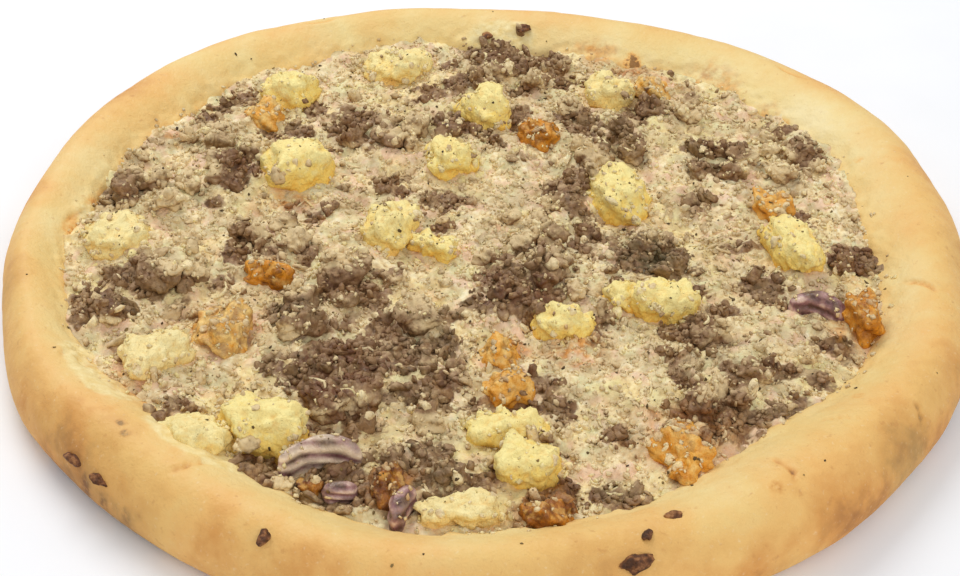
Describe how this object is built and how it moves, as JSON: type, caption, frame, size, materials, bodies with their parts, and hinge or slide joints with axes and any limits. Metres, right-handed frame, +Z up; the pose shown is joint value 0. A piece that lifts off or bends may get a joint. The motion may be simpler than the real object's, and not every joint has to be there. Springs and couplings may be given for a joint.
{
  "type": "turkish pizza",
  "caption": "Round flatbread with a plump baked rim, filled with fried mince under grated cheese, with lumps of yellow and browned cheese and bent onion slices on top.",
  "frame": {"origin": "centre of the flat underside", "axes": "+Z up out of the topping, -Y towards the side that is nearest the eater, +X to that eater's right"},
  "size_m": [0.2772, 0.2759, 0.0245],
  "materials": {
    "baked_dough": "matte, pale cream inside, golden tan on the crest",
    "mince_and_grated_cheese": "rough, cream shreds melted over the mince",
    "fried_mince": "greyish brown, slightly greasy",
    "grated_cheese": "pale cream, dry",
    "yellow_cheese": "pale yellow, crumbly, darker at the foot",
    "browned_cheese": "orange, oily",
    "onion": "purple brown, moist",
    "dried_herbs": "dark flakes"
  },
  "bodies": {
    "root": {"crust": "baked_dough", "mince_and_cheese_bed": "mince_and_grated_cheese", "yellow_cheese_01": "yellow_cheese", "yellow_cheese_02": "yellow_cheese", "yellow_cheese_03": "yellow_cheese", "yellow_cheese_04": "yellow_cheese", "yellow_cheese_05": "yellow_cheese", "yellow_cheese_06": "yellow_cheese", "yellow_cheese_07": "yellow_cheese", "yellow_cheese_08": "yellow_cheese", "yellow_cheese_09": "yellow_cheese", "yellow_cheese_10": "yellow_cheese", "yellow_cheese_11": "yellow_cheese", "yellow_cheese_12": "yellow_cheese", "yellow_cheese_13": "yellow_cheese", "yellow_cheese_14": "yellow_cheese", "yellow_cheese_15": "yellow_cheese", "yellow_cheese_16": "yellow_cheese", "yellow_cheese_17": "yellow_cheese", "yellow_cheese_18": "yellow_cheese", "yellow_cheese_19": "yellow_cheese", "yellow_cheese_20": "yellow_cheese", "browned_cheese_01": "browned_cheese", "browned_cheese_02": "browned_cheese", "browned_cheese_03": "browned_cheese", "browned_cheese_04": "browned_cheese", "browned_cheese_05": "browned_cheese", "browned_cheese_06": "browned_cheese", "browned_cheese_07": "browned_cheese", "browned_cheese_08": "browned_cheese", "browned_cheese_09": "browned_cheese", "browned_cheese_10": "browned_cheese", "browned_cheese_11": "browned_cheese", "browned_cheese_12": "browned_cheese", "browned_cheese_13": "browned_cheese", "onion_slice_01": "onion", "onion_slice_02": "onion", "onion_slice_03": "onion", "onion_slice_04": "onion"}
  },
  "joints": []
}
